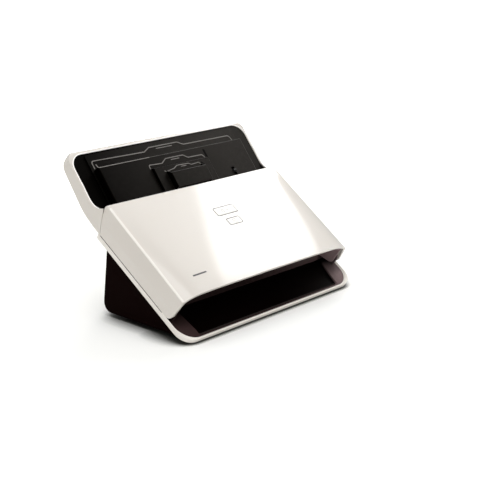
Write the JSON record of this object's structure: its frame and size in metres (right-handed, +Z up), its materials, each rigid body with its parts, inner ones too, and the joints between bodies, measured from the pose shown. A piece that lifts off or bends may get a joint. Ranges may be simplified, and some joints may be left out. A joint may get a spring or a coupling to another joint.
{
  "type": "desktop document scanner",
  "caption": "Desktop sheet-fed document scanner: white slanted body on a dark wedge stand, lift-off black tray insert with three pockets, hinged front cover over rollers and scan bars.",
  "frame": {"origin": "centre of the bounding box on the table plane", "axes": "+X to the user's right along the width, +Y towards the back, +Z up"},
  "size_m": [0.275, 0.1852, 0.1704],
  "materials": {
    "gloss_white": "glossy moulded",
    "liner_black": "fine moulded grain",
    "insert_black": "satin moulded grain",
    "tray_mauve": "satin moulded",
    "stand_black": "satin black-brown",
    "chassis_dark": "moulded",
    "button_white": "glossy moulded",
    "rubber_black": "matte",
    "rubber_grey": "matte",
    "steel": "ground",
    "spring_steel": "drawn wire",
    "zinc_screw": "zinc plated",
    "gear_plastic": "acetal",
    "pinion_brass": "machined",
    "bush_plastic": "acetal",
    "motor_can": "blackened",
    "scan_black": "moulded",
    "scan_glass": "clear",
    "board_green": "solder mask",
    "chip_black": "moulded",
    "socket_metal": "nickel plated",
    "socket_black": "moulded"
  },
  "bodies": {
    "base": {"base_stand": "stand_black", "base_plate": "chassis_dark", "rubber_feet": "rubber_black", "base_screws": "zinc_screw", "lower_housing": "gloss_white", "output_tray": "tray_mauve", "input_hood": "gloss_white", "hood_liner": "liner_black", "paper_bed": "chassis_dark", "feed_motor": "motor_can", "motor_bracket": "steel", "idler_posts": "steel", "roller_bushes": "bush_plastic", "lower_scan_module": "scan_black", "lower_scan_glass": "scan_glass", "main_board": "board_green", "board_parts": "chip_black", "usb_socket": "socket_metal", "power_socket": "socket_black", "flag_bearings": "chassis_dark"},
    "front_cover": {"front_cover": "gloss_white", "cover_inner_panel": "tray_mauve", "cover_hinge_pins": "steel", "upper_scan_module": "scan_black", "upper_scan_glass": "scan_glass", "separation_pad": "rubber_grey", "pad_holder": "chassis_dark", "pad_spring": "spring_steel", "button_board": "board_green", "cover_screws": "zinc_screw", "pinch_holders": "chassis_dark"},
    "scan_button": {"scan_button": "button_white"},
    "file_button": {"file_button": "button_white"},
    "tray_insert": {"insert_back_plate": "insert_black", "document_pocket": "insert_black", "receipt_pocket": "insert_black", "card_pocket": "insert_black"},
    "feed_roller": {"feed_roller_shaft": "steel", "feed_roller_tyres": "rubber_grey", "feed_gear": "gear_plastic"},
    "exit_roller": {"exit_roller_shaft": "steel", "exit_roller_tyres": "rubber_grey", "exit_gear": "gear_plastic"},
    "idler_front": {"idler_gear_front": "gear_plastic"},
    "idler_middle": {"idler_gear_middle": "gear_plastic"},
    "idler_rear": {"idler_gear_rear": "gear_plastic"},
    "pinion": {"motor_pinion": "pinion_brass"},
    "pinch_roller": {"pinch_shaft": "steel", "pinch_roller_tyres": "rubber_grey"},
    "paper_flag": {"paper_flag": "chassis_dark"}
  },
  "joints": [
    {"name": "cover_open", "type": "hinge", "parent": "base", "child": "front_cover", "pos_m": [0, -0.06699, 0.03183], "axis": [1, 0, 0], "range_deg": [0, 72]},
    {"name": "scan_press", "type": "slide", "parent": "front_cover", "child": "scan_button", "axis": [0, 0.541, -0.841], "range_m": [0, 0.0008]},
    {"name": "file_press", "type": "slide", "parent": "front_cover", "child": "file_button", "axis": [0, 0.541, -0.841], "range_m": [0, 0.0008]},
    {"name": "insert_lift", "type": "slide", "parent": "base", "child": "tray_insert", "axis": [0, -0.5664, 0.8241], "range_m": [0, 0.06]},
    {"name": "feed_spin", "type": "hinge", "parent": "base", "child": "feed_roller", "pos_m": [0, 0.0193, 0.08107], "axis": [1, 0, 0], "continuous": true},
    {"name": "idler_rear_spin", "type": "hinge", "parent": "base", "child": "idler_rear", "pos_m": [0.12, 0.01267, 0.06214], "axis": [1, 0, 0], "continuous": true},
    {"name": "idler_middle_spin", "type": "hinge", "parent": "base", "child": "idler_middle", "pos_m": [0.12, -0.00544, 0.05351], "axis": [1, 0, 0], "continuous": true},
    {"name": "idler_front_spin", "type": "hinge", "parent": "base", "child": "idler_front", "pos_m": [0.12, -0.02113, 0.04101], "axis": [1, 0, 0], "continuous": true},
    {"name": "exit_spin", "type": "hinge", "parent": "base", "child": "exit_roller", "pos_m": [0, -0.04117, 0.04194], "axis": [1, 0, 0], "continuous": true},
    {"name": "pinion_spin", "type": "hinge", "parent": "base", "child": "pinion", "pos_m": [0.118, 0.00733, 0.0422], "axis": [1, 0, 0], "continuous": true},
    {"name": "pinch_spin", "type": "hinge", "parent": "front_cover", "child": "pinch_roller", "pos_m": [0, -0.04839, 0.05244], "axis": [1, 0, 0], "continuous": true},
    {"name": "flag_swing", "type": "hinge", "parent": "base", "child": "paper_flag", "pos_m": [0.075, 0.05365, 0.11839], "axis": [1, 0, 0], "range_deg": [0, 25]}
  ],
  "couplings": [
    {"joint": "idler_rear_spin", "follows": "feed_spin", "ratio": -1},
    {"joint": "idler_middle_spin", "follows": "feed_spin", "ratio": 1},
    {"joint": "idler_front_spin", "follows": "feed_spin", "ratio": -1},
    {"joint": "exit_spin", "follows": "feed_spin", "ratio": 1},
    {"joint": "pinion_spin", "follows": "feed_spin", "ratio": -1.4286},
    {"joint": "pinch_spin", "follows": "feed_spin", "ratio": -1.5}
  ]
}
